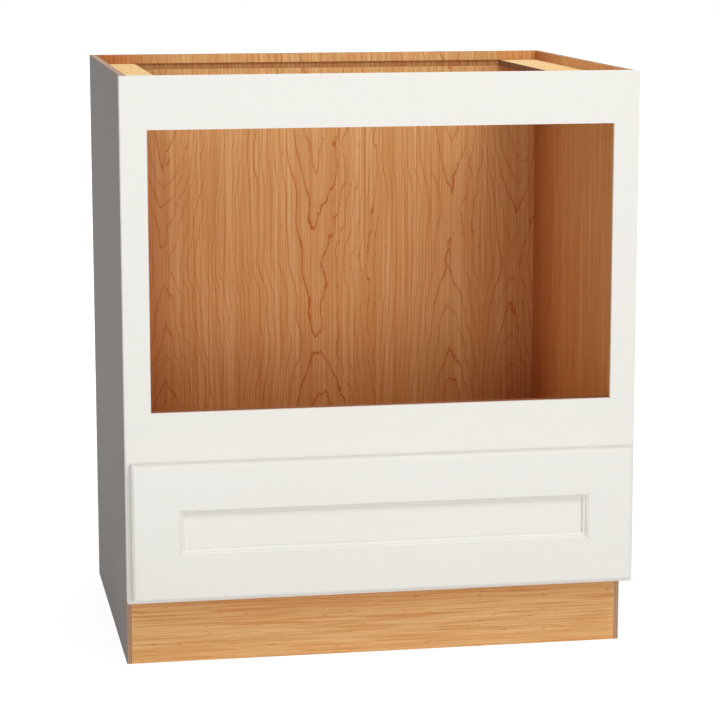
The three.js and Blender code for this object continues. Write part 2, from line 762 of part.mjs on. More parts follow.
function buildDrawerBox() {
  const group = new THREE.Group();
  const bottomSpan = [[-boxBottomHalf, boxBottomHalf], boxBottomDepth, boxBottomLevel];
  const groove = slabSeat(...bottomSpan);
  const sockets = Object.values(HANDS).map((hand) => (
    prismX(tailedOutline(GLUE_GAP), ...handed(hand, boxInner - GLUE_GAP, boxHalf + 1))
  ));
  for (const [side, hand] of Object.entries(HANDS)) {
    const board = prismX(tailedOutline(0), ...handed(hand, boxInner, boxHalf));
    addPiece(group, `drawer_side_${side}`, maple, carve(board, groove));
  }
  const ends = { front: [boxFront, boxFront + BOX_BOARD], back: [boxRear - BOX_BOARD, boxRear] };
  for (const [end, depth] of Object.entries(ends)) {
    const board = slab([-boxHalf, boxHalf], depth, [boxBottom, boxTop]);
    const holes = end === 'front' ? screwHoles() : [];
    addPiece(group, `drawer_box_${end}`, maple, carve(board, ...sockets, groove, ...holes));
  }
  addPiece(group, 'drawer_bottom', plywood, slab(...bottomSpan));
  return group;
}

// ---------------------------------------------------------------------------------------------------
// Assembly
// ---------------------------------------------------------------------------------------------------

const cabinet = new THREE.Group();
cabinet.add(buildFaceFrame(), buildBox(), buildSlides(), buildDrawerFront(), buildDrawerBox());
cabinet.position.y = -(CABINET_DEPTH + frontFace) / 2;

export default cabinet;
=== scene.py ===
"""Dresses the solids of a framed microwave base cabinet and lights them in a white studio.

Every length in a class is in millimetres, and is turned to metres where it reaches Blender. The
frame is the solids' own: X to the right, Y to the back, Z up, with the floor at zero.
"""

from __future__ import annotations

import json
import logging
import math
from collections.abc import Callable
from dataclasses import dataclass, field, replace
from enum import Enum
from typing import Any

import bmesh
import bpy
import numpy as np
from mathutils import Matrix, Vector

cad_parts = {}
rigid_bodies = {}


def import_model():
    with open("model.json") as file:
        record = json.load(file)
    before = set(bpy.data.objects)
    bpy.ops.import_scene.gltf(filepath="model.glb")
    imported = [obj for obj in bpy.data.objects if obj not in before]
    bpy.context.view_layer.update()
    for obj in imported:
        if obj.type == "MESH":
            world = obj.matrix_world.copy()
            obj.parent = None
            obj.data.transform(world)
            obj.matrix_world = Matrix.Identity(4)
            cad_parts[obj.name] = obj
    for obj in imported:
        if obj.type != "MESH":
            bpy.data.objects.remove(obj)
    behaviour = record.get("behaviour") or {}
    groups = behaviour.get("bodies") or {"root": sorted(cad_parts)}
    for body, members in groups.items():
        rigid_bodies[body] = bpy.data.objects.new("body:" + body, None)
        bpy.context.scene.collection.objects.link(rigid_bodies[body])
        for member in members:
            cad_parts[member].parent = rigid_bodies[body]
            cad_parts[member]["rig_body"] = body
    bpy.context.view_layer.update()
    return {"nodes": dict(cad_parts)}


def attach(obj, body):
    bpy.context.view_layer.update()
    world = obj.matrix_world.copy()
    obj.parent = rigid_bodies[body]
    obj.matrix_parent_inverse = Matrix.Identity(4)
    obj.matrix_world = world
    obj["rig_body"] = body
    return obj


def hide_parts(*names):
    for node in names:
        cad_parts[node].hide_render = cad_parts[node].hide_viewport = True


log = logging.getLogger("cabinet")
MM = 0.001
TO_MM = (1000.0, 1000.0, 1000.0)  # a Mapping node's scale that turns metres to mm
WHITE = (1.0, 1.0, 1.0, 1.0)
# A colour Mix node's sockets: how much of the second colour, the two colours, and the output.
SHARE, FIRST, SECOND, MIXED = 0, 6, 7, 2

# How maple is uneven: how many bumps come in a millimetre along each axis, and their detail. The
# grain runs along Z.
UNEVEN = {
    "wander": ((0.014, 0.014, 0.0035), 2.0),
    "kink": ((0.07, 0.07, 0.026), 3.0),
    "drift": ((0.002, 0.002, 0.0065), 1.0),
    "sway": ((0.004, 0.004, 0.009), 1.0),
    # Zones about 35 mm across, where the pinstripes are strong or weak.
    "zone": ((0.028, 0.028, 0.0018), 2.0),
}
# By how many mm that bends the place across a leaf, and the depth of the cut.
BENT_ACROSS = (("wander", 26.0), ("drift", 32.0), ("kink", 9.0))
BENT_DEEP = (("sway", 18.0), ("kink", 7.0))
# How dark a year's ring is from its start to its end: pale wood, then one thin dark line.
RING = ((0.0, 0.16), (0.06, 0.03), (0.6, 0.0), (0.88, 0.12), (0.95, 1.0), (1.0, 0.4))
YEARS_APART = 3170.0  # times the lean, which keeps one leaf's years apart from the next one's
# The pinstripes' power in an average zone, how much a zone adds to it, and the least that it is.
POWER, ZONE_POWER, LEAST_POWER = 3.2, 11.0, 0.8
ZONE_TONE = 0.9  # how much a zone lightens the ground
# A face points along an axis if its normal has this much along it, and lies in a plane if its
# centre is within this many mm of it.
ALONG, NEAR = 0.9, 0.5

Node = bpy.types.Node
Socket = bpy.types.NodeSocket
Tree = bpy.types.NodeTree
Triple = tuple[float, float, float]
Rule = Callable[[np.ndarray, np.ndarray], np.ndarray]


def srgb(code: str) -> tuple[float, float, float, float]:
    """Turns an sRGB hex colour into the linear one that Blender's sockets take.

    Args:
        code: Six hex digits, with or without a leading #.

    Returns:
        Red, green, blue and an alpha of 1.
    """
    parts = np.array([int(code.lstrip("#")[i : i + 2], 16) for i in (0, 2, 4)]) / 255
    linear = np.where(parts <= 0.04045, parts / 12.92, ((parts + 0.055) / 1.055) ** 2.4)
    return (*linear.tolist(), 1.0)


def feed(tree: Tree, source: Any, socket: Socket) -> None:
    """Feeds a socket.

    Args:
        tree: The node tree.
        source: A plain value, a socket, or a node, which gives its first output.
        socket: The socket to feed.
    """
    if isinstance(source, Node):
        source = source.outputs[0]
    if isinstance(source, Socket):
        tree.links.new(source, socket)
    else:
        socket.default_value = source


def node(
    tree: Tree, kind: str, inputs: dict[str | int, Any] | tuple = (), **settings: Any
) -> Node:
    """Adds a node with its settings and links.

    Args:
        tree: The node tree to add to.
        kind: The node's type name, less its leading ShaderNode.
        inputs: What feeds its sockets, by their names or numbers, or in their order.
        settings: The node's own properties, and stops for a colour ramp, from 0 to 1.

    Returns:
        The new node.
    """
    made = tree.nodes.new(f"ShaderNode{kind}")
    stops = settings.pop("stops", None)
    for name, value in settings.items():
        setattr(made, name, value)
    if stops:
        ramp = made.color_ramp.elements
        ramp[0].color, ramp[1].color = stops[0][1], stops[-1][1]
        for place, colour in stops[1:-1]:
            ramp.new(place).color = colour
    pairs = inputs.items() if isinstance(inputs, dict) else enumerate(inputs)
    for key, source in pairs:
        feed(tree, source, made.inputs[key])
    return made


class Lay(Enum):
    """How a board's grain lies, as the turn that brings the grain to the pattern's Z."""

    UPRIGHT_ACROSS_X = (0.0, 0.0, 0.0)
    UPRIGHT_ACROSS_Y = (0.0, 0.0, math.pi / 2)
    ALONG_X = (0.0, math.pi / 2, 0.0)
    ALONG_Y = (math.pi / 2, 0.0, 0.0)
    FLAT_ALONG_X = (math.pi / 2, math.pi / 2, 0.0)


class Through(Enum):
    """The axis that a sheet's thickness runs along."""

    X = 0
    Y = 1
    Z = 2


@dataclass(frozen=True)
class Finish:
    """What every finish is made of: a name, and what feeds each of its shader's sockets."""

    name: str

    def sockets(self, tree: Tree) -> dict[str, Any]:
        """Works out what feeds the shader.

        Args:
            tree: The node tree to add to.

        Returns:
            Each shader socket's name, with its number or the node or socket that feeds it.
        """
        raise NotImplementedError

    def build(self) -> bpy.types.Material:
        """Makes the finish's material.

        Returns:
            The material.
        """
        made = bpy.data.materials.new(self.name)
        made.use_nodes = True
        shader = made.node_tree.nodes["Principled BSDF"]
        for socket, source in self.sockets(made.node_tree).items():
            feed(made.node_tree, source, shader.inputs[socket])
        return made


@dataclass(frozen=True)
class SatinPaint(Finish):
    """Catalysed white paint, sprayed on maple and rubbed level between coats.

    It gives the eye a warm white with a soft, low sheen, a faint orange peel that only a grazing
    light finds, and hardly any change of tone.
    """

    colour: str = "#ECEAE4"
    shade: str = "#E9E7E0"
    roughness: float = 0.42
    specular: float = 0.5
    clouds: float = 3.0  # soft clouds of tone to a metre
    peel: float = 2.2  # mm between the orange peel's bumps

    def sockets(self, tree: Tree) -> dict[str, Any]:
        """Works out the paint's clouds of tone and its orange peel.

        Args:
            tree: The node tree to add to.

        Returns:
            Each shader socket's name, with its number or the node or socket that feeds it.
        """
        place = node(tree, "TexCoord").outputs["Object"]
        cloud = node(tree, "TexNoise", {"Vector": place, "Scale": self.clouds, "Detail": 1.0})
        tint = {SHARE: cloud, FIRST: srgb(self.shade), SECOND: srgb(self.colour)}
        gloss = {"Value": cloud, "To Min": self.roughness - 0.03, "To Max": self.roughness + 0.03}
        peel = node(tree, "TexNoise", {"Vector": place, "Scale": 1000 / self.peel, "Detail": 0.0})
        return {
            "IOR": 1.5,
            "Specular IOR Level": self.specular,
            "Base Color": node(tree, "Mix", tint, data_type="RGBA").outputs[MIXED],
            "Roughness": node(tree, "MapRange", gloss),
            "Normal": node(
                tree, "Bump", {"Height": peel, "Strength": 0.25, "Distance": 0.02 * MM}
            ),
        }


@dataclass(frozen=True)
class Timber(Finish):
    """Clear-coated maple, sliced or sawn so that its rings show as arches between straight grain.

    It gives the eye a honey brown with thin darker ring lines, pale and dark pinstripes along the
    grain, and a few short flecks, under a satin lacquer.
    """

    lay: Lay
    light: str = "#E4B178"
    dark: str = "#CF8C4C"
    line: str = "#B5521A"
    shift: Triple = (0.0, 0.0, 0.0)  # mm
    # Each leaf of veneer: where it starts across the grain, its heart, both in mm, how far its
    # arches lean, and the height in mm of the crest, where they turn round.
    leaves: tuple[tuple[float, float, float, float], ...] = ((-1000.0, 330.0, 0.02, 300.0),)
    ring: float = 8.0  # mm from ring to ring
    pith: float = 125.0  # mm from the cut to the heart of the log, less what the arches take
    turn: float = 30.0  # mm above and below the crest in which the arches turn round
    lead: float = 280.0  # mm that the lean counts from beyond the crest
    point: float = 1.4  # how pointed the arches are
    solid: float = 0.0  # 1 where the rings run on through the board's thickness
    strength: float = 1.0  # how dark the ring lines are
    fibre: float = 1.0  # how strong the pinstripes are
    dash: float = 240.0  # mm that a pinstripe is long
    fleck: float = 0.76  # how rare the flecks are, from 0.6 to 1
    # Painted shade: where the wood is tinted darker and redder as though shade falls there. An
    # axis,
    # 0 across the grain or 2 along it, the two places in mm between which that comes up, and how
    # much of the tint it comes to.
    painted_shade: tuple[tuple[int, float, float, float], ...] = ()
    painted_shade_tint: str = "#CBA089"
    roughness: float = 0.42
    specular: float = 0.2

    def sockets(self, tree: Tree) -> dict[str, Any]:
        """Works out the timber's colour and height.

        The ground is a mix of dark and light by the zones and the pinstripes. The ring lines and
        the flecks are laid over it, and the painted shade's tint multiplies it. The height is the
        pinstripes' noise less the ring lines.

        Args:
            tree: The node tree to add to.

        Returns:
            Each shader socket's name, with its number or the node or socket that feeds it.
        """
        laid = {
            "Vector": node(tree, "TexCoord").outputs["Object"],
            "Location": self.shift,
            "Rotation": self.lay.value,
            "Scale": TO_MM,
        }
        place = node(tree, "Mapping", laid)
        axes = node(tree, "SeparateXYZ", (place,)).outputs
        noise = self._noise(tree, place)
        swing = {
            name: node(tree, "Math", (noise[name], 0.5), operation="SUBTRACT")
            for name in (*UNEVEN, "hair")
        }
        drawn = self._rings(tree, axes, swing)
        fleck = {
            "Value": noise["fleck"],
            "From Min": self.fleck,
            "From Max": self.fleck + 0.1,
            "To Max": 0.4,
        }
        layers = [
            (self._tone(tree, swing), self.light, "MIX"),
            (drawn, self.line, "MIX"),
            (node(tree, "MapRange", fleck, interpolation_type="SMOOTHSTEP"), self.line, "MIX"),
        ]
        # Painted shade: a darker, redder tint multiplies the colour where shade falls.
        if self.painted_shade:
            layers.append((self._painted_shade_share(tree, axes), self.painted_shade_tint, "MULTIPLY"))
        colour = srgb(self.dark)
        for share, code, way in layers:
            mix = {SHARE: share, FIRST: colour, SECOND: srgb(code)}
            colour = node(tree, "Mix", mix, data_type="RGBA", blend_type=way).outputs[MIXED]
        height = node(tree, "Math", (noise["hair"], drawn), operation="SUBTRACT", use_clamp=True)
        gloss = {"Value": height, "To Min": self.roughness + 0.1, "To Max": self.roughness - 0.04}
        return {
            "IOR": 1.5,
            "Specular IOR Level": self.specular,
            "Base Color": colour,
            "Roughness": node(tree, "MapRange", gloss),
            "Normal": node(
                tree, "Bump", {"Height": height, "Strength": 0.3, "Distance": 0.06 * MM}
            ),
        }

    def _noise(self, tree: Tree, place: Node) -> dict[str, Node]:
        """Adds the wood's unevenness, as noises that are stretched along the grain.

        Args:
            tree: The node tree to add to.
            place: The place in mm.

        Returns:
            The noises by their names, each 0.5 on average.
        """
        fine = {
            # Pinstripes about 3 mm apart. The real fibres are 0.2 mm and wouldn't show.
            "hair": ((0.6, 0.6, 1 / self.dash), 2.0),
            # Short dark flecks, a millimetre or two across and 10 mm long.
            "fleck": ((0.4, 0.4, 0.05), 0.0),
        }
        made = {}
        for name, (pace, detail) in (UNEVEN | fine).items():
            paced = node(tree, "VectorMath", (place, pace), operation="MULTIPLY")
            made[name] = node(tree, "TexNoise", {"Vector": paced, "Scale": 1.0, "Detail": detail})
        return made

    def _leaf(self, tree: Tree, across: Socket) -> list[float | Node]:
        """Finds the leaf at a place: a sum of steps, one at each leaf's start.

        Args:
            tree: The node tree to add to.
            across: The place across the grain in mm.

        Returns:
            The leaf's heart, lean and crest.
        """
        found = list(self.leaves[0][1:])
        for before, leaf in zip(self.leaves, self.leaves[1:]):
            step = node(tree, "Math", (across, leaf[0]), operation="GREATER_THAN")
            for k, (old, new) in enumerate(zip(before[1:], leaf[1:])):
                more = (step, new - old, found[k])
                found[k] = node(tree, "Math", more, operation="MULTIPLY_ADD")
        return found

    def _rings(self, tree: Tree, axes: bpy.types.NodeOutputs, swing: dict[str, Node]) -> Node:
        """Draws the ring lines.

        A ring's number is the distance to the log's heart over the ring spacing. That distance is
        the root of the squares of the place across the leaf and of the cut's depth. The depth falls
        off by the lean above and below the crest, where the turn rounds it. A share of the place
        across is added, which points the arches, and noises bend both places.

        Args:
            tree: The node tree to add to.
            axes: The place in mm, an output for each axis.
            swing: The noises, each 0 on average.

        Returns:
            How dark the ring line is at the place.
        """
        heart, lean, crest = self._leaf(tree, axes["X"])
        across = node(tree, "Math", (axes["X"], heart), operation="SUBTRACT")
        for name, most in BENT_ACROSS:
            across = node(tree, "Math", (swing[name], most, across), operation="MULTIPLY_ADD")
        rise = node(tree, "Math", (axes["Z"], crest), operation="SUBTRACT")
        rise = node(tree, "Math", (rise, rise, self.turn**2), operation="MULTIPLY_ADD")
        rise = node(tree, "Math", (rise,), operation="SQRT")
        rise = node(tree, "Math", (rise, self.lead), operation="ADD")
        fall = node(tree, "Math", (rise, lean), operation="MULTIPLY")
        deep = node(tree, "Math", (self.pith, fall), operation="SUBTRACT")
        for name, most in BENT_DEEP:
            deep = node(tree, "Math", (swing[name], most, deep), operation="MULTIPLY_ADD")
        deep = node(tree, "Math", (axes["Y"], self.solid, deep), operation="MULTIPLY_ADD")
        spoke = node(tree, "CombineXYZ", {"X": across, "Y": deep})
        radius = node(tree, "VectorMath", (spoke,), operation="LENGTH").outputs["Value"]
        point = node(tree, "Math", (across,), operation="ABSOLUTE")
        point = node(tree, "Math", (point, lean), operation="MULTIPLY")
        radius = node(tree, "Math", (point, self.point, radius), operation="MULTIPLY_ADD")
        rings = node(tree, "Math", (radius, self.ring), operation="DIVIDE")
        year = node(tree, "Math", (rings,), operation="FLOOR")
        year = node(tree, "Math", (lean, YEARS_APART, year), operation="MULTIPLY_ADD")
        luck = {
            "Value": node(tree, "TexWhiteNoise", {"W": year}, noise_dimensions="1D"),
            "From Min": 0.15,
            "To Min": 0.45 * self.strength,
            "To Max": self.strength,
        }
        part = node(tree, "Math", (rings,), operation="FRACT")
        stops = [(start, (dark, dark, dark, 1.0)) for start, dark in RING]
        edge = node(tree, "ValToRGB", (part,), stops=stops)
        return node(tree, "Math", (edge, node(tree, "MapRange", luck)), operation="MULTIPLY")

    def _tone(self, tree: Tree, swing: dict[str, Node]) -> Node:
        """Works out the ground's tone: the zones', and the pinstripes by the zones' power.

        Args:
            tree: The node tree to add to.
            swing: The noises, each 0 on average.

        Returns:
            The tone, from 0 for dark to 1 for light.
        """
        power = (swing["zone"], ZONE_POWER * self.fibre, POWER * self.fibre)
        power = node(tree, "Math", power, operation="MULTIPLY_ADD")
        power = node(tree, "Math", (power, LEAST_POWER * self.fibre), operation="MAXIMUM")
        tone = node(tree, "Math", (swing["zone"], ZONE_TONE, 0.5), operation="MULTIPLY_ADD")
        return node(tree, "Math", (swing["hair"], power, tone), operation="MULTIPLY_ADD")

    def _painted_shade_share(self, tree: Tree, axes: bpy.types.NodeOutputs) -> Node:
        """Adds up how much painted shade a place has, from each part where it comes up.

        Args:
            tree: The node tree to add to.
            axes: The place in mm, an output for each axis.

        Returns:
            The share of the tint.
        """
        share = 0.0
        for axis, start, end, most in self.painted_shade:
            rise = {"Value": axes[axis], "From Min": start, "From Max": end, "To Max": most}
            part = node(tree, "MapRange", rise, interpolation_type="SMOOTHSTEP")
            share = node(tree, "Math", (share, part), operation="ADD")
        return share


@dataclass(frozen=True)
class PlyEdge(Finish):
    """The raw sawn edge of maple plywood, with plies that run along and across by turns.

    It gives the eye thin stripes of light wood and of darker, rougher end grain, with dark glue
    lines.
    """

    through: Through
    start: float  # mm, the place of the sheet's first face along its thickness
    ply: float = 1.36  # mm a ply
    light: str = "#D0AF90"
    dark: str = "#A6806A"
    glue: str = "#664536"

    def sockets(self, tree: Tree) -> dict[str, Any]:
        """Works out the plies and the glue lines between them.

        A sine of the depth into the sheet is above zero in one ply and below it in the next, and
        crosses zero at each glue line.

        Args:
            tree: The node tree to add to.

        Returns:
            Each shader socket's name, with its number or the node or socket that feeds it.
        """
        laid = {"Vector": node(tree, "TexCoord").outputs["Object"], "Scale": TO_MM}
        place = node(tree, "Mapping", laid)
        grit = node(tree, "TexNoise", {"Vector": place, "Scale": 0.35, "Detail": 3.0})
        depth = node(tree, "SeparateXYZ", (place,)).outputs[self.through.value]
        wave = node(tree, "Math", (depth, self.start), operation="SUBTRACT")
        wave = node(tree, "Math", (wave, math.pi / self.ply), operation="MULTIPLY")
        wave = node(tree, "Math", (wave,), operation="SINE")
        away = node(tree, "Math", (wave,), operation="ABSOLUTE")
        plies = {"Value": wave, "From Min": -0.25, "From Max": 0.25}
        worn = {"Value": grit, "From Min": 0.35, "From Max": 0.75, "To Max": 0.45}
        seam = {"Value": away, "From Min": 0.02, "From Max": 0.4, "To Min": 0.6, "To Max": 0.0}
        layers = (
            (node(tree, "MapRange", plies, interpolation_type="SMOOTHSTEP"), self.light),
            (node(tree, "MapRange", worn), self.dark),
            (node(tree, "MapRange", seam), self.glue),
        )
        colour = srgb(self.dark)
        for share, code in layers:
            mix = {SHARE: share, FIRST: colour, SECOND: srgb(code)}
            colour = node(tree, "Mix", mix, data_type="RGBA").outputs[MIXED]
        return {
            "Specular IOR Level": 0.2,
            "Roughness": 0.75,
            "Base Color": colour,
            "Normal": node(tree, "Bump", {"Height": grit, "Strength": 0.5, "Distance": 0.2 * MM}),
        }


@dataclass(frozen=True)
class ZincSteel(Finish):
    """Cold-rolled steel, zinc plated and bright passivated.

    It gives the eye a cool grey metal with soft, slightly streaked reflections from the rolling.
    """

    name: str = "zinc_plated_steel"
    colour: str = "#D2D4D6"
    shade: str = "#BFC2C6"
    # Rolling streaks to a metre, 0.8 mm apart and 30 mm long: four times as coarse as real ones.
    streaks: Triple = (1250.0, 33.0, 1250.0)

    def sockets(self, tree: Tree) -> dict[str, Any]:
        """Works out the rolling streaks.

        Args:
            tree: The node tree to add to.

        Returns:
            Each shader socket's name, with its number or the node or socket that feeds it.
        """
        laid = {"Vector": node(tree, "TexCoord").outputs["Object"], "Scale": self.streaks}
        place = node(tree, "Mapping", laid)
        roll = node(tree, "TexNoise", {"Vector": place, "Scale": 1.0, "Detail": 2.0})
        tint = {SHARE: roll, FIRST: srgb(self.shade), SECOND: srgb(self.colour)}
        return {
            "Metallic": 1.0,
            "Base Color": node(tree, "Mix", tint, data_type="RGBA").outputs[MIXED],
            "Roughness": node(tree, "MapRange", {"Value": roll, "To Min": 0.26, "To Max": 0.42}),
        }


@dataclass(frozen=True)
class ClearRubber(Finish):
    """Soft clear polyurethane, moulded in domes with a frosted skin.

    It gives the eye a milky, see-through bead.
    """

    name: str = "clear_polyurethane"
    colour: str = "#F2F2EE"
    shade: str = "#E6E6E0"
    grains: float = 1500.0  # grains of frost to a metre

    def sockets(self, tree: Tree) -> dict[str, Any]:
        """Works out the frost.

        Args:
            tree: The node tree to add to.

        Returns:
            Each shader socket's name, with its number or the node or socket that feeds it.
        """
        place = node(tree, "TexCoord").outputs["Object"]
        frost = node(tree, "TexNoise", {"Vector": place, "Scale": self.grains, "Detail": 1.0})
        tint = {SHARE: frost, FIRST: srgb(self.shade), SECOND: srgb(self.colour)}
        return {
            "IOR": 1.49,
            "Transmission Weight": 0.6,
            "Base Color": node(tree, "Mix", tint, data_type="RGBA").outputs[MIXED],
            "Roughness": node(tree, "MapRange", {"Value": frost, "To Min": 0.2, "To Max": 0.45}),
        }


@dataclass
class Workshop:
    """Holds the solids, and makes finished copies of them."""

    solids: dict[str, bpy.types.Object]
    made: dict[str, bpy.types.Material] = field(default_factory=dict)
    merge: float = 0.002  # mm within which a copy's points are one point
    cut: float = 0.001  # mm within which a point lies on a cutting plane
    flat: float = 0.4  # degrees between faces that are one face
    sharp: float = 28.0  # degrees between faces that meet in an edge

    def material(self, finish: Finish) -> bpy.types.Material:
        """Makes a finish's material once, and gives it again when it is asked for again.

        Args:
            finish: The finish.

        Returns:
            The material.
        """
        if finish.name not in self.made:
            self.made[finish.name] = finish.build()
        return self.made[finish.name]

    def finish(
        self,
        name: str,
        finishes: list[Finish],
        rule: Rule | None = None,
        ease: float = 0.35,
        cuts: tuple[tuple[int, float], ...] = (),
        keep_sharp: Rule | None = None,
    ) -> bpy.types.Object:
        """Makes the finished piece of one solid: merged, its edges eased, each face in its finish.

        Args:
            name: The solid's name.
            finishes: The finishes, in the order that the rule numbers them.
            rule: Takes the faces' centres and normals as arrays, in mm, and gives each face's
                finish number.
            ease: The width of the eased edge in mm.
            cuts: Axis number and place in mm of planes that part long edges, so that easing can
                stop there.
            keep_sharp: Takes the edges' two ends as arrays in mm, and marks those that stay sharp,
                such as the line of a glued joint that was sanded level.

        Returns:
            The finished piece.
        """
        solid = self.solids[name]
        shape = bmesh.new()
        shape.from_mesh(solid.data)
        bmesh.ops.remove_doubles(shape, verts=shape.verts, dist=self.merge * MM)
        bmesh.ops.dissolve_limit(
            shape, angle_limit=math.radians(self.flat), verts=shape.verts, edges=shape.edges
        )
        for axis, place in cuts:
            normal = Vector((0, 0, 0))
            normal[axis] = 1
            bmesh.ops.bisect_plane(
                shape,
                geom=[*shape.verts, *shape.edges, *shape.faces],
                plane_co=normal * place * MM,
                plane_no=normal,
                dist=self.cut * MM,
            )
        mesh = bpy.data.meshes.new(f"{name}_finished")
        shape.to_mesh(mesh)
        shape.free()
        piece = bpy.data.objects.new(f"{name}_finished", mesh)
        bpy.context.scene.collection.objects.link(piece)
        self._number_faces(mesh, finishes, rule)
        self._ease(piece, ease, keep_sharp)
        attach(piece, solid["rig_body"])
        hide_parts(name)
        log.info("%s: %d faces", piece.name, len(mesh.polygons))
        return piece

    def _number_faces(
        self, mesh: bpy.types.Mesh, finishes: list[Finish], rule: Rule | None
    ) -> None:
        """Puts the finishes on a mesh, and each face's finish number.

        Args:
            mesh: The mesh.
            finishes: The finishes in order.
            rule: As in finish.
        """
        for each in finishes:
            mesh.materials.append(self.material(each))
        if rule is None:
            return
        count = len(mesh.polygons)
        centres = np.empty(count * 3, np.float32)
        normals = np.empty(count * 3, np.float32)
        mesh.polygons.foreach_get("center", centres)
        mesh.polygons.foreach_get("normal", normals)
        numbers = rule(centres.reshape(-1, 3) / MM, normals.reshape(-1, 3))
        mesh.polygons.foreach_set("material_index", np.asarray(numbers, np.int32))

    def _ease(self, piece: bpy.types.Object, ease: float, keep_sharp: Rule | None) -> None:
        """Shades a piece smoothly across its curves, and eases its edges.

        Args:
            piece: The piece.
            ease: The width of the eased edge in mm.
            keep_sharp: As in finish.
        """
        mesh = piece.data
        mesh.polygons.foreach_set("use_smooth", np.ones(len(mesh.polygons), bool))
        mesh.set_sharp_from_angle(angle=math.radians(self.sharp))
        if ease <= 0:
            return
        sharp = np.zeros(len(mesh.edges), bool)
        mesh.edges.foreach_get("use_edge_sharp", sharp)
        weights = sharp.astype(np.float32)
        if keep_sharp is not None:
            points = np.empty(len(mesh.vertices) * 3, np.float32)
            mesh.vertices.foreach_get("co", points)
            ends = np.empty(len(mesh.edges) * 2, np.int32)
            mesh.edges.foreach_get("vertices", ends)
            pair = points.reshape(-1, 3)[ends.reshape(-1, 2)] / MM
            weights[keep_sharp(pair[:, 0], pair[:, 1])] = 0
        layer = mesh.attributes.new("bevel_weight_edge", "FLOAT", "EDGE")
        layer.data.foreach_set("value", weights)
        eased = piece.modifiers.new("eased_edges", "BEVEL")
        eased.limit_method = "WEIGHT"
        eased.width = ease * MM
        eased.segments = 2
        eased.use_clamp_overlap = True
        level = piece.modifiers.new("level_faces", "WEIGHTED_NORMAL")
        level.keep_sharp = True


@dataclass
class FaceFrame:
    """The painted face frame: two stiles and three rails, glued flush.

    The paint wraps a few millimetres round the niche's edge, and clear-coated maple shows behind
    it.
    """

    front: float = -291.6
    wrap: float = 5.0
    inner: float = 342.9  # the opening's half width
    middle: tuple[float, float] = (254.0, 390.525)
    top: float = 800.1
    bottom: tuple[float, float] = (107.95, 146.05)
    paint: SatinPaint = SatinPaint("white_satin_paint")

    def build(self, shop: Workshop) -> None:
        """Paints the frame.

        Args:
            shop: The workshop.
        """
        heights = (self.bottom[1], *self.middle, self.top)
        wrap = (1, self.front + self.wrap)
        upright = Timber("maple_frame_upright", Lay.UPRIGHT_ACROSS_Y, strength=0.3)
        level = replace(upright, name="maple_frame_level", lay=Lay.ALONG_X)
        # Painted shade: the middle rail's upper edge is coloured as dark as the shaded veneer
        # behind it.
        painted_shade_sill = replace(level, name="maple_frame_sill", light="#8A4E28", dark="#7C421F")
        for name, timber, cuts in (
            ("stile_left", upright, (*((2, height) for height in heights), wrap)),
            ("stile_right", upright, (*((2, height) for height in heights), wrap)),
            ("middle_rail", painted_shade_sill, (wrap,)),
            ("top_rail", level, (wrap,)),
        ):
            shop.finish(
                name, [self.paint, timber], rule=self._edge, cuts=cuts, keep_sharp=self._joint
            )
        shop.finish("bottom_rail", [self.paint], keep_sharp=self._joint)

    def _edge(self, centres: np.ndarray, normals: np.ndarray) -> np.ndarray:
        """Numbers the faces round the niche 1 behind the wrapped paint, and all others 0.

        Args:
            centres: The faces' centres in mm.
            normals: Their normals.

        Returns:
            Each face's finish number.
        """
        across = np.abs(np.abs(centres[:, 0]) - self.inner) < NEAR
        across &= np.abs(normals[:, 0]) > ALONG
        across &= (centres[:, 2] > self.middle[1]) & (centres[:, 2] < self.top)
        ends = np.abs(centres[:, 2, None] - [self.middle[1], self.top]).min(axis=1)
        level = (ends < NEAR) & (np.abs(normals[:, 2]) > ALONG)
        return (across | level) & (centres[:, 1] > self.front + self.wrap)

    def _joint(self, first: np.ndarray, last: np.ndarray) -> np.ndarray:
        """Marks the edges that lie in a glued joint between a stile and a rail, or behind it.

        Args:
            first: One end of each edge in mm.
            last: The other end.

        Returns:
            Whether each edge is in a joint.
        """
        middle = (first + last) / 2
        inside = np.abs(np.abs(middle[:, 0]) - self.inner) < NEAR
        upright = np.abs(first[:, 2] - last[:, 2]) > 2 * NEAR
        height = middle[:, 2]
        niche = (height > self.middle[1]) & (height < self.top)
        drawer = (height > self.bottom[1]) & (height < self.middle[0])
        return inside & ~(upright & (niche | drawer))


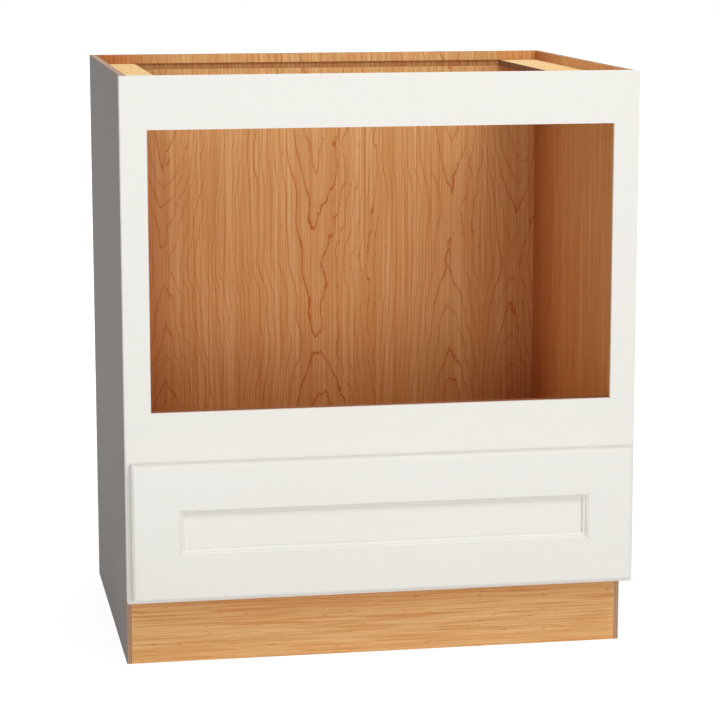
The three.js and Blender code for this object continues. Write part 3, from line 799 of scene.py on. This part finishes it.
@dataclass
class CabinetBox:
    """The plywood box: sides, back, deck, floor, kick board, hanging rails, braces and blocks."""

    inside: float = 369.075  # the side panels' inner faces
    back: float = 289.375
    kick: float = -232.6
    rails: float = 298.95  # the hanging rails' front faces
    deck: float = 254.0
    floor: float = 107.95
    # The outside's grey is partly the laminate's own colour and partly painted shade, as dark as
    # the side looks in shade.
    grey_shaded_skin: SatinPaint = SatinPaint(
        "grey_side_laminate_and_shade", colour="#8C8580", shade="#88817C", roughness=0.6, specular=0.15
    )
    # The back's four leaves, as they lie in the photograph.
    leaves: tuple[tuple[float, float, float, float], ...] = (
        (-400.0, -261.0, 0.165, 519.0),
        (-131.5, -7.0, 0.07, 430.0),
        (100.9, 224.0, 0.107, 600.0),
        (279.0, 334.0, 0.166, 519.0),
    )

    def build(self, shop: Workshop) -> None:
        """Finishes the box's panels, boards and rails.

        Args:
            shop: The workshop.
        """
        block = Timber(
            "solid_maple_block",
            Lay.ALONG_Y,
            light="#EFCB9B",
            dark="#E2B883",
            line="#C08F5B",
            solid=1.0,
            strength=0.4,
        )
        for side, sign in (("left", -1), ("right", 1)):
            self._side_panel(shop, side, sign)
            self._brace(shop, side, sign)
            shop.finish(f"deck_cleat_{side}", [block])
            shop.finish(f"slide_block_{side}", [block])
        self._back_panel(shop)
        self._sheets(shop)

    def _side_panel(self, shop: Workshop, side: str, sign: int) -> None:
        """Finishes a side panel: grey laminate outside, partly painted shade, veneer inside, plies
        on the edges.

        Args:
            shop: The workshop.
            side: The panel's side.
            sign: -1 for the left panel and 1 for the right one.
        """

        def rule(centres: np.ndarray, normals: np.ndarray) -> np.ndarray:
            """Numbers the faces by the way they point.

            Args:
                centres: The faces' centres in mm; not used.
                normals: Their normals.

            Returns:
                Each face's finish number.
            """
            outward = normals[:, 0] * sign
            return np.select([outward > ALONG, outward < -ALONG], [0, 1], 2)

        across, along = 29.0 * sign, 180.0 * sign
        veneer = Timber(
            f"maple_side_{side}",
            Lay.UPRIGHT_ACROSS_Y,
            shift=(across, 0.0, along),
            light="#EFBA7E",
            dark="#DA9350",
            strength=0.4,
            fibre=1.35,
            fleck=0.7,
            # Painted shade, darker towards the back corner and towards the foot.
            painted_shade=(
                (0, across - 60.0, across - 289.0, 0.8),
                (2, along + 450.0, along + 250.0, 0.15),
            ),
        )
        edge = PlyEdge(f"ply_edge_side_{side}", Through.X, sign * self.inside)
        shop.finish(f"side_panel_{side}", [self.grey_shaded_skin, veneer, edge], rule=rule)

    def _brace(self, shop: Workshop, side: str, sign: int) -> None:
        """Finishes a brace: its edge towards the middle is dark as painted shade, the rest is pale.

        Args:
            shop: The workshop.
            side: The brace's side.
            sign: -1 for the left brace and 1 for the right one.
        """

        def rule(centres: np.ndarray, normals: np.ndarray) -> np.ndarray:
            """Numbers the faces by the way they point.

            Args:
                centres: The faces' centres in mm; not used.
                normals: Their normals.

            Returns:
                Each face's finish number.
            """
            return normals[:, 0] * sign < -ALONG

        # Painted shade: the edge towards the middle is as dark as it looks in shade.
        edge = Timber(
            "painted_shade_brace_edge",
            Lay.ALONG_Y,
            light="#9D7459",
            dark="#966845",
            strength=0.3,
            roughness=0.7,
            specular=0.1,
        )
        pale = replace(
            edge,
            name="pale_maple_brace",
            light="#FBD9A0",
            dark="#F0C380",
            line="#DCAA6A",
            strength=0.5,
            solid=1.0,
        )
        shop.finish(f"top_brace_{side}", [pale, edge], rule=rule)

    def _back_panel(self, shop: Workshop) -> None:
        """Finishes the back: veneer on its two faces, plies on its edges, painted shade in its
        groove.

        Args:
            shop: The workshop.
        """

        def rule(centres: np.ndarray, normals: np.ndarray) -> np.ndarray:
            """Numbers the faces by the way they point, and the groove's floor by its depth.

            Args:
                centres: The faces' centres in mm.
                normals: Their normals.

            Returns:
                Each face's finish number.
            """
            numbers = self._flat(Through.Y)(centres, normals)
            numbers[(normals[:, 1] < -ALONG) & (centres[:, 1] > self.back + NEAR)] = 2
            return numbers

        veneer = Timber(
            "maple_back",
            Lay.UPRIGHT_ACROSS_X,
            light="#F1C387",
            dark="#DB9B56",
            line="#C25C1E",
            leaves=self.leaves,
            fibre=0.85,
            # Painted shade, darker towards the two sides, the top and the foot.
            painted_shade=(
                (0, -225.0, -372.0, 0.92),
                (0, 220.0, 372.0, 0.36),
                (2, 830.0, 640.0, 0.3),
                (2, 430.0, 250.0, 0.24),
            ),
        )
        # Painted shade: the groove's floor is coloured darker, as the recess is in shade.
        groove = Timber(
            "maple_back_groove_shade",
            Lay.UPRIGHT_ACROSS_X,
            light="#C7955D",
            dark="#B47539",
            dash=60.0,
            fibre=1.4,
        )
        edge = PlyEdge("ply_edge_back", Through.Y, self.back)
        shop.finish("back_panel", [veneer, edge, groove], rule=rule)

    def _sheets(self, shop: Workshop) -> None:
        """Finishes the deck, the floor, the kick board and the hanging rails.

        Args:
            shop: The workshop.
        """
        plain = Timber("maple_sheet", Lay.FLAT_ALONG_X, shift=(60.0, 0.0, 30.0), strength=0.3)
        honey = replace(
            plain,
            lay=Lay.ALONG_X,
            light="#F1C589",
            dark="#DD9E5B",
            line="#C57838",
            dash=110.0,
            fibre=0.9,
            fleck=0.68,
        )
        # Painted shade: under the drawer front the kick board is darker, where the front's shadow
        # falls.
        kick = replace(honey, painted_shade=((0, 100.0, 165.0, 0.33), (0, 150.0, 168.0, 0.4)))
        # Painted shade: the deck is darker than the other sheets, so that it throws less light onto
        # the niche's foot.
        deck = replace(plain, lay=Lay.ALONG_Y, light="#B88B59", dark="#AA7645")
        for name, through, start, timber in (
            ("niche_deck", Through.Z, self.deck, deck),
            ("floor_panel", Through.Z, self.floor, plain),
            ("toe_kick", Through.Y, self.kick, kick),
            ("hanging_rail_top", Through.Y, self.rails, honey),
            ("hanging_rail_bottom", Through.Y, self.rails, honey),
        ):
            face = replace(timber, name=f"maple_{name}")
            edge = PlyEdge(f"ply_edge_{name}", through, start)
            shop.finish(name, [face, edge], rule=self._flat(through))

    def _flat(self, through: Through) -> Rule:
        """Gives the rule for a sheet: veneer on its two faces, plies on the edges.

        Args:
            through: The axis that the sheet's thickness runs along.

        Returns:
            The rule.
        """

        def rule(centres: np.ndarray, normals: np.ndarray) -> np.ndarray:
            """Numbers the faces by the way they point.

            Args:
                centres: The faces' centres in mm; not used.
                normals: Their normals.

            Returns:
                Each face's finish number.
            """
            return np.where(np.abs(normals[:, through.value]) > ALONG, 0, 1)

        return rule


@dataclass
class DrawerFront:
    """The painted front: two stiles, two rails and a flat panel."""

    paint: SatinPaint = SatinPaint("white_satin_paint")

    def build(self, shop: Workshop) -> None:
        """Paints the drawer front.

        Args:
            shop: The workshop.
        """
        for part in ("stile_left", "stile_right", "rail_bottom", "rail_top", "panel"):
            shop.finish(f"drawer_front_{part}", [self.paint], ease=0)


@dataclass
class DrawerBox:
    """The dovetailed maple box and its ply bottom."""

    maple: Timber = Timber(
        "maple_drawer_side",
        Lay.ALONG_Y,
        light="#F1D0A2",
        dark="#E5BE8B",
        line="#C4935F",
        solid=1.0,
        strength=0.35,
    )

    def build(self, shop: Workshop) -> None:
        """Finishes the drawer box.

        Args:
            shop: The workshop.
        """
        end = replace(self.maple, name="maple_drawer_end", lay=Lay.ALONG_X)
        bottom = replace(
            self.maple,
            name="maple_drawer_bottom",
            lay=Lay.FLAT_ALONG_X,
            solid=0.0,
            strength=0.3,
        )
        for name, timber in (
            ("drawer_side_left", self.maple),
            ("drawer_side_right", self.maple),
            ("drawer_box_front", end),
            ("drawer_box_back", end),
            ("drawer_bottom", bottom),
        ):
            shop.finish(name, [timber])


@dataclass
class Hardware:
    """The slides, ball cages, screws and bumpers, which stay the solids that they are."""

    steel: ZincSteel = ZincSteel()
    rubber: ClearRubber = ClearRubber()

    def build(self, shop: Workshop) -> None:
        """Puts the metal and the rubber on.

        Args:
            shop: The workshop.
        """
        metal = ("slide_outer", "slide_middle", "slide_inner", "ball_cage", "drawer_screw")
        for name, solid in shop.solids.items():
            for starts, finish in ((metal, self.steel), (("drawer_bumper",), self.rubber)):
                if name.startswith(starts):
                    solid.data.materials.clear()
                    solid.data.materials.append(shop.material(finish))
                    log.info("%s: %s", name, finish.name)


@dataclass(frozen=True)
class Softbox:
    """A soft lamp, which the camera doesn't see."""

    name: str
    place: Triple  # mm, its middle
    aim: Triple  # mm, the point that it faces
    size: tuple[float, float]  # mm
    watts: float

    def hang(self) -> None:
        """Hangs the softbox."""
        lamp = bpy.data.lights.new(self.name, "AREA")
        lamp.shape = "RECTANGLE"
        lamp.size, lamp.size_y = self.size[0] * MM, self.size[1] * MM
        lamp.energy = self.watts
        made = bpy.data.objects.new(self.name, lamp)
        made.location = Vector(self.place) * MM
        way = Vector(self.aim) - Vector(self.place)
        made.rotation_euler = way.to_track_quat("-Z", "Y").to_euler()
        made.visible_camera = False
        bpy.context.scene.collection.objects.link(made)


@dataclass
class Studio:
    """A pale floor, soft lamps, and a sky whose strength differs from side to side."""

    floor: float = 40000.0
    right: float = 0.47
    left: float = 0.2
    back: float = 0.25
    front: float = 0.95
    above: float = 0.34
    ground: str = "#E8E8E8"
    lift: float = 0.7  # how far the camera sees the floor lifted to white near the object
    glow: float = 1.3  # how bright that white is, so that only the shadow is under white
    fade: tuple[float, float] = (800.0, 2200.0)  # mm from the middle, between near and far
    lamps: tuple[Softbox, ...] = (
        Softbox("high_softbox", (800, -2200, 2900), (0, 0, 800), (1200, 1000), 31.6),
        Softbox("front_softbox", (-900, -3200, 700), (0, 0, 450), (1400, 1400), 10.3),
        Softbox("low_softbox", (150, -3200, 450), (0, 0, 500), (2400, 900), 8.8),
        Softbox("back_softbox", (300, 1500, 2600), (0, 0, 800), (1300, 1200), 24.5),
    )

    def build(self) -> None:
        """Makes the floor, the world and the lamps."""
        self._floor()
        self._world()
        for lamp in self.lamps:
            lamp.hang()

    def _white_rays(self, tree: Tree) -> Node:
        """Gives 1 for the rays that see the white background: camera, glossy and transmission.

        Args:
            tree: The node tree to add to.

        Returns:
            The node that gives it.
        """
        path = node(tree, "LightPath").outputs
        seen = (path["Is Camera Ray"], path["Is Glossy Ray"])
        seen = (node(tree, "Math", seen, operation="MAXIMUM"), path["Is Transmission Ray"])
        return node(tree, "Math", seen, operation="MAXIMUM")

    def _world(self) -> None:
        """Makes the world: a soft dome of fill light, dimmer on the left, and white where seen.

        The fill from a direction is the sum over the axes of the square of the direction's part
        along that axis, times the strength of the sky on that side.
        """
        world = bpy.data.worlds.new("studio")
        bpy.context.scene.world = world
        world.use_nodes = True
        tree = world.node_tree
        tree.nodes.clear()
        ray = node(tree, "TexCoord").outputs["Generated"]
        parts = []
        for side, strengths in (
            ("MAXIMUM", (self.right, self.back, self.above)),
            ("MINIMUM", (self.left, self.front, 0.0)),
        ):
            half = node(tree, "VectorMath", (ray, (0.0, 0.0, 0.0)), operation=side)
            square = node(tree, "VectorMath", (half, half), operation="MULTIPLY")
            lit = node(tree, "VectorMath", (square, strengths), operation="DOT_PRODUCT")
            parts.append(lit.outputs["Value"])
        dome = node(tree, "Math", tuple(parts), operation="ADD")
        fill = node(tree, "Background", {"Color": WHITE, "Strength": dome})
        white = node(tree, "Background", {"Color": WHITE, "Strength": 1.0})
        mixed = node(tree, "MixShader", (self._white_rays(tree), fill, white))
        node(tree, "OutputWorld", {"Surface": mixed})

    def _floor(self) -> None:
        """Lays the floor: pale for the light, nearly white to the eye, with the shadow kept."""
        reach = self.floor / 2 * MM
        mesh = bpy.data.meshes.new("studio_floor")
        corners = np.array([(-1, -1, 0), (1, -1, 0), (1, 1, 0), (-1, 1, 0)], float) * reach
        mesh.from_pydata(corners.tolist(), [], [(0, 1, 2, 3)])
        made = bpy.data.materials.new("pale_floor")
        made.use_nodes = True
        tree = made.node_tree
        tree.nodes.clear()
        pale = node(tree, "BsdfDiffuse", {"Color": srgb(self.ground)})
        white = node(tree, "Emission", {"Color": WHITE, "Strength": self.glow})
        place = node(tree, "TexCoord").outputs["Object"]
        away = node(tree, "VectorMath", (place,), operation="LENGTH").outputs["Value"]
        lift = {
            "Value": away,
            "From Min": self.fade[0] * MM,
            "From Max": self.fade[1] * MM,
            "To Min": self.lift,
            "To Max": 1.0,
        }
        lifted = node(tree, "MapRange", lift, interpolation_type="SMOOTHSTEP")
        share = node(tree, "Math", (self._white_rays(tree), lifted), operation="MULTIPLY")
        mixed = node(tree, "MixShader", (share, pale, white))
        node(tree, "OutputMaterial", {"Surface": mixed})
        mesh.materials.append(made)
        floor = bpy.data.objects.new("studio_floor", mesh)
        bpy.context.scene.collection.objects.link(floor)


@dataclass
class PhotoCamera:
    """A plain camera, fitted to the photograph's view of the cabinet with no lens shift.

    The photograph's uprights are parallel, which takes a level camera with a lens shift of six
    tenths of the frame. A shift like that would push the object out of every other view, so this
    camera is tilted instead, and its uprights draw together a little towards the floor.
    """

    place: Triple = (-678.4, -3870.6, 1092.5)
    turn: float = 10.175  # degrees to the right
    tilt: float = 9.870  # degrees down
    roll: float = -0.052  # degrees
    focal: float = 2525.0  # pixels
    frame: int = 720  # pixels
    sensor: float = 36.0
    sees: tuple[float, float] = (50.0, 200000.0)  # the nearest and farthest that it sees

    def build(self) -> None:
        """Makes the camera and gives it to the scene."""
        data = bpy.data.cameras.new("photo_camera")
        data.sensor_width = self.sensor
        data.lens = self.sensor * self.focal / self.frame
        data.clip_start, data.clip_end = self.sees[0] * MM, self.sees[1] * MM
        made = bpy.data.objects.new("photo_camera", data)
        turned = Matrix.Rotation(math.radians(-self.turn), 4, "Z")
        tilted = Matrix.Rotation(math.radians(90 - self.tilt), 4, "X")
        rolled = Matrix.Rotation(math.radians(self.roll), 4, "Z")
        made.matrix_world = Matrix.Translation(Vector(self.place) * MM) @ turned @ tilted @ rolled
        bpy.context.scene.collection.objects.link(made)
        bpy.context.scene.camera = made


def main() -> None:
    """Loads the solids, finishes each part, and sets up the studio and the camera."""
    logging.basicConfig(level=logging.INFO, format="%(name)s %(message)s")
    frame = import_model()
    shop = Workshop(frame["nodes"])
    for part in (FaceFrame(), CabinetBox(), DrawerFront(), DrawerBox(), Hardware()):
        log.info("%s", type(part).__name__)
        part.build(shop)
    Studio().build()
    PhotoCamera().build()
    bpy.context.scene.view_settings.view_transform = "Standard"


if __name__ == "__main__":
    main()
